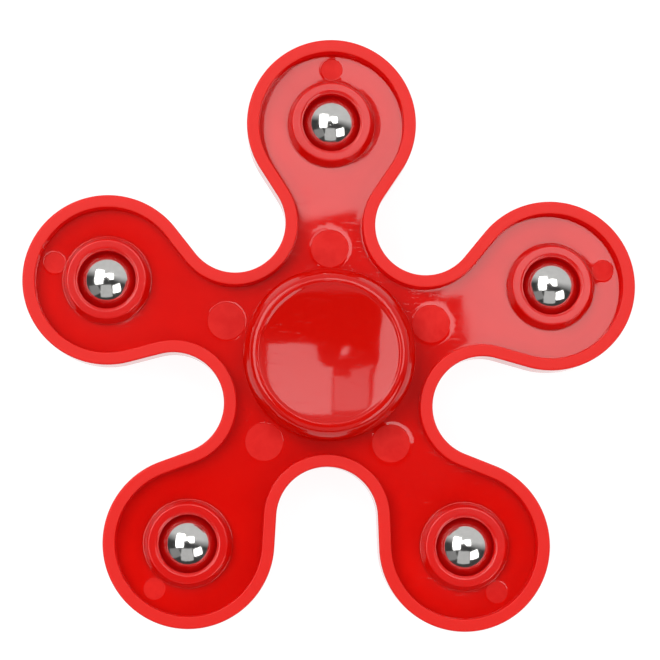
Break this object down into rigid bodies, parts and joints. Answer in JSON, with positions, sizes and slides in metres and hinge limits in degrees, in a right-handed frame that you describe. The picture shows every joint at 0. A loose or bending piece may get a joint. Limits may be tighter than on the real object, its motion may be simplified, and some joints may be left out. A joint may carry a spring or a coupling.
{
  "type": "fidget spinner",
  "caption": "Five-lobed spinner with a ball weight in each ringed lobe, turning on a shielded ball bearing between two dished finger caps.",
  "frame": {"origin": "centre of the bearing, on the spin axis at the body's mid-plane", "axes": "+Z along the spin axis, out of the front face with the pin marks; +Y along one arm; +X to its right"},
  "size_m": [0.0842, 0.0813, 0.0132],
  "materials": {
    "body_red": "glossy moulded red",
    "cap_red": "glossy moulded red with fine wear marks",
    "ball_steel": "mirror polished steel",
    "bearing_ball_steel": "mirror polished steel",
    "ring_steel": "ground bearing steel",
    "shield_steel": "pressed sheet steel",
    "cage_steel": "pressed sheet steel"
  },
  "bodies": {
    "hub": {"front_cap": "cap_red", "rear_cap": "cap_red", "bearing_inner_ring": "ring_steel"},
    "spinner": {"spinner_body": "body_red", "weight_ball_1": "ball_steel", "weight_ball_2": "ball_steel", "weight_ball_3": "ball_steel", "weight_ball_4": "ball_steel", "weight_ball_5": "ball_steel", "bearing_outer_ring": "ring_steel", "bearing_shield_front": "shield_steel", "bearing_shield_rear": "shield_steel"},
    "cage": {"bearing_cage_front": "cage_steel", "bearing_cage_rear": "cage_steel"},
    "rolling_ball_1": {"bearing_ball_1": "bearing_ball_steel"},
    "rolling_ball_2": {"bearing_ball_2": "bearing_ball_steel"},
    "rolling_ball_3": {"bearing_ball_3": "bearing_ball_steel"},
    "rolling_ball_4": {"bearing_ball_4": "bearing_ball_steel"},
    "rolling_ball_5": {"bearing_ball_5": "bearing_ball_steel"},
    "rolling_ball_6": {"bearing_ball_6": "bearing_ball_steel"},
    "rolling_ball_7": {"bearing_ball_7": "bearing_ball_steel"}
  },
  "joints": [
    {"name": "spin", "type": "hinge", "parent": "hub", "child": "spinner", "pos_m": [0, 0, 0], "axis": [0, 0, 1], "continuous": true},
    {"name": "cage_turn", "type": "hinge", "parent": "hub", "child": "cage", "pos_m": [0, 0, 0], "axis": [0, 0, 1], "continuous": true},
    {"name": "ball_1_roll", "type": "hinge", "parent": "cage", "child": "rolling_ball_1", "pos_m": [0, 0.0075, 0], "axis": [0, 0, 1], "continuous": true},
    {"name": "ball_2_roll", "type": "hinge", "parent": "cage", "child": "rolling_ball_2", "pos_m": [-0.00586, 0.00468, 0], "axis": [0, 0, 1], "continuous": true},
    {"name": "ball_3_roll", "type": "hinge", "parent": "cage", "child": "rolling_ball_3", "pos_m": [-0.00731, -0.00167, 0], "axis": [0, 0, 1], "continuous": true},
    {"name": "ball_4_roll", "type": "hinge", "parent": "cage", "child": "rolling_ball_4", "pos_m": [-0.00325, -0.00676, 0], "axis": [0, 0, 1], "continuous": true},
    {"name": "ball_5_roll", "type": "hinge", "parent": "cage", "child": "rolling_ball_5", "pos_m": [0.00325, -0.00676, 0], "axis": [0, 0, 1], "continuous": true},
    {"name": "ball_6_roll", "type": "hinge", "parent": "cage", "child": "rolling_ball_6", "pos_m": [0.00731, -0.00167, 0], "axis": [0, 0, 1], "continuous": true},
    {"name": "ball_7_roll", "type": "hinge", "parent": "cage", "child": "rolling_ball_7", "pos_m": [0.00586, 0.00468, 0], "axis": [0, 0, 1], "continuous": true}
  ],
  "couplings": [
    {"joint": "cage_turn", "follows": "spin", "ratio": 0.6323},
    {"joint": "ball_1_roll", "follows": "spin", "ratio": 1.7573},
    {"joint": "ball_2_roll", "follows": "spin", "ratio": 1.7573},
    {"joint": "ball_3_roll", "follows": "spin", "ratio": 1.7573},
    {"joint": "ball_4_roll", "follows": "spin", "ratio": 1.7573},
    {"joint": "ball_5_roll", "follows": "spin", "ratio": 1.7573},
    {"joint": "ball_6_roll", "follows": "spin", "ratio": 1.7573},
    {"joint": "ball_7_roll", "follows": "spin", "ratio": 1.7573}
  ]
}
